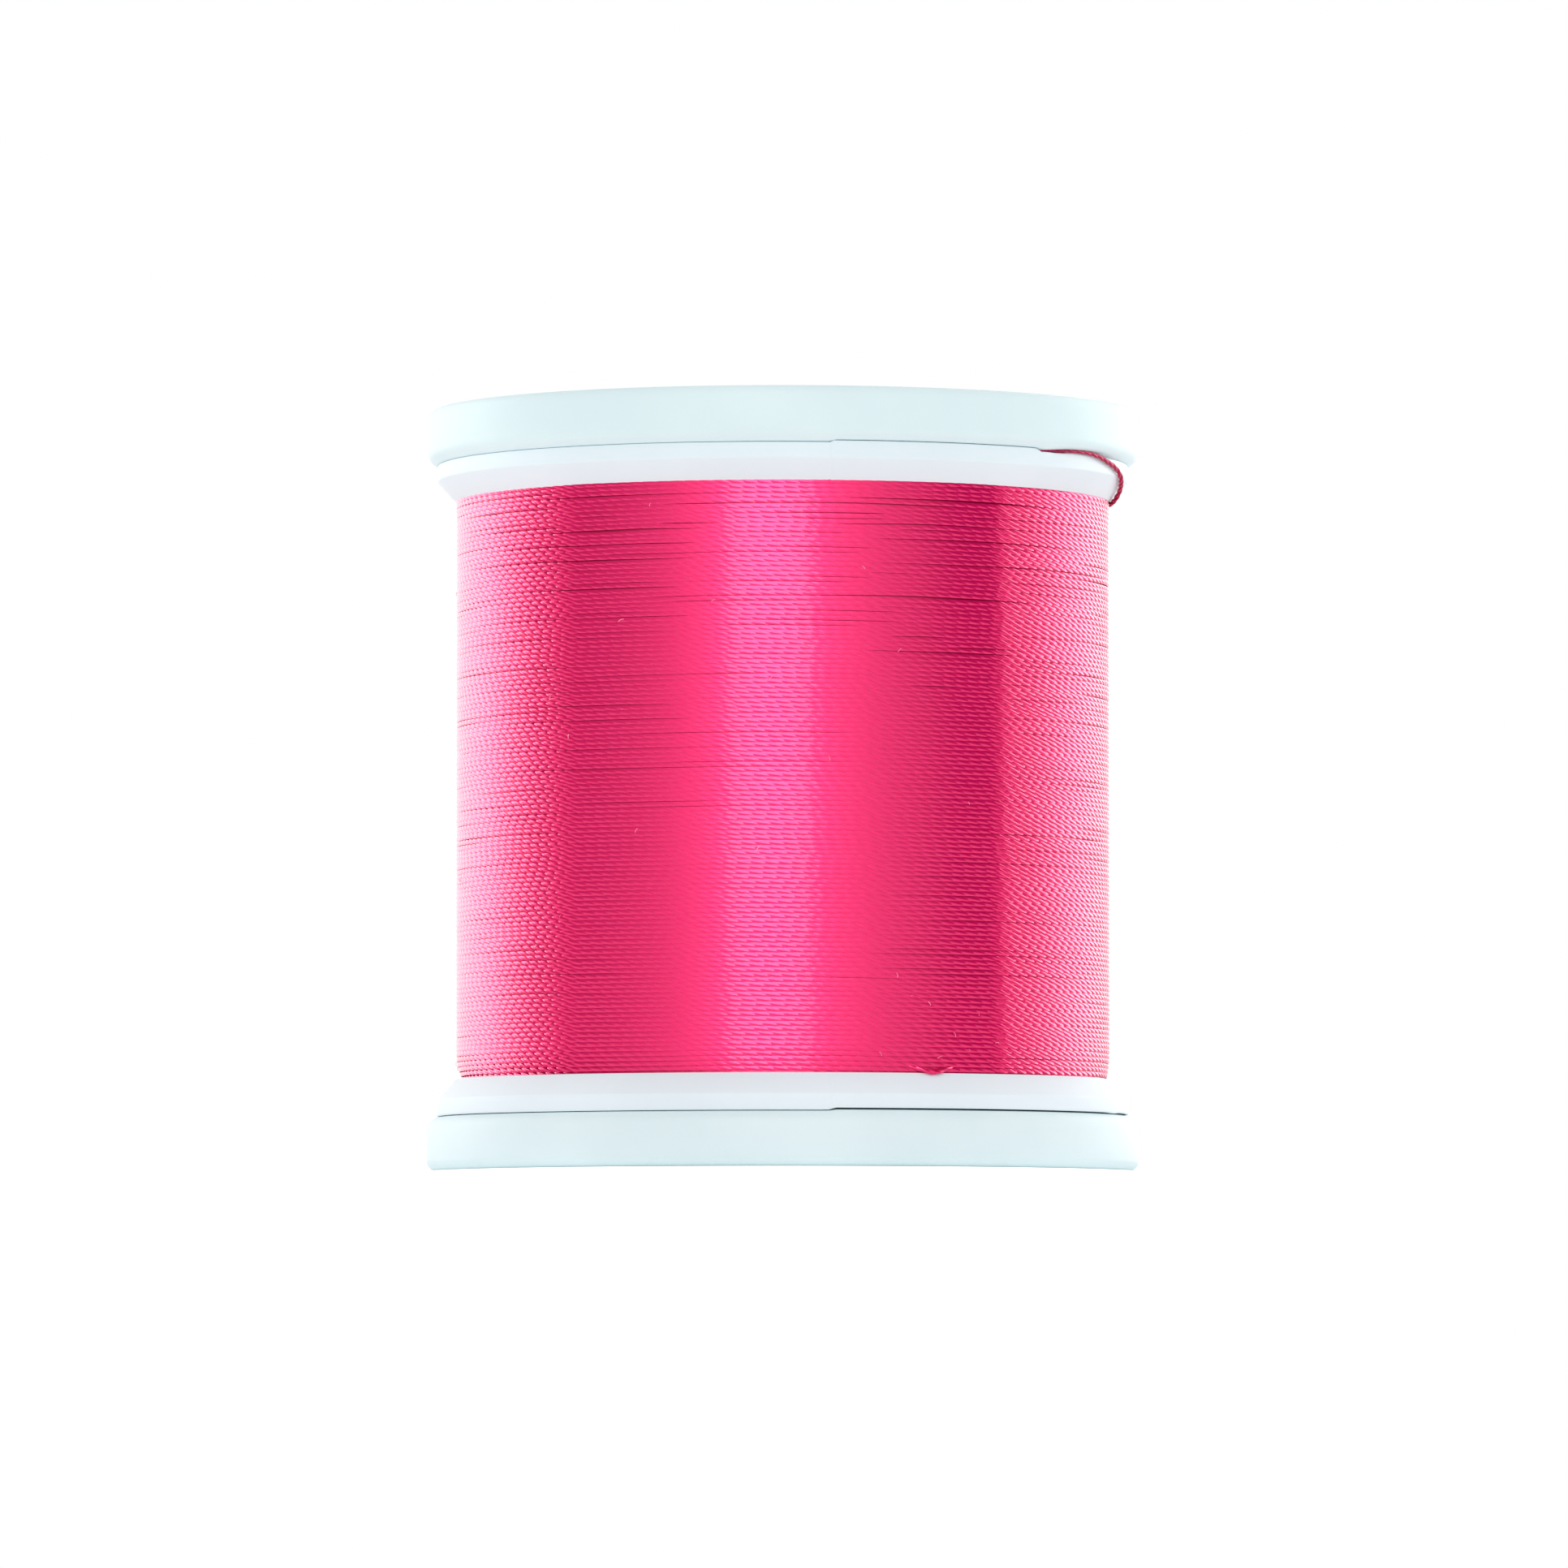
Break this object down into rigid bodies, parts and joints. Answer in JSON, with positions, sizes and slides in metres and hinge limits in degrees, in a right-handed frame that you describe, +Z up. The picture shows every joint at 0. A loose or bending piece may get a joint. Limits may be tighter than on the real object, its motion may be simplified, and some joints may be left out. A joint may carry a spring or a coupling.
{
  "type": "spool of thread",
  "caption": "Small white plastic spool wound full of shiny pink sewing thread, with caps that snap over both flanges and hold the loose end in a slit.",
  "frame": {"origin": "on the spool's axis, in the plane of the lower cap's outer face, which the spool stands on", "axes": "+Z up along the spool's axis; the picture looks along +Y from slightly below, with +X to its right"},
  "size_m": [0.0286, 0.0286, 0.0306],
  "materials": {
    "white_body_plastic": "satin injection moulded, cool white",
    "white_cap_plastic": "satin injection moulded, cool white",
    "label_paper": "bare uncoated paper",
    "pink_thread": "silky two-ply filament thread, pink"
  },
  "bodies": {
    "spool": {"spool_body": "white_body_plastic", "thread_inner_layers": "pink_thread", "thread_outer_layer": "pink_thread", "thread_tail": "pink_thread"},
    "upper_cap": {"top_cap": "white_cap_plastic", "top_label": "label_paper"},
    "lower_cap": {"bottom_cap": "white_cap_plastic", "bottom_label": "label_paper"}
  },
  "joints": [
    {"name": "upper_cap_pull", "type": "slide", "parent": "spool", "child": "upper_cap", "axis": [0, 0, 1], "range_m": [0, 0.0025]},
    {"name": "lower_cap_pull", "type": "slide", "parent": "spool", "child": "lower_cap", "axis": [0, 0, -1], "range_m": [0, 0.0025]}
  ]
}
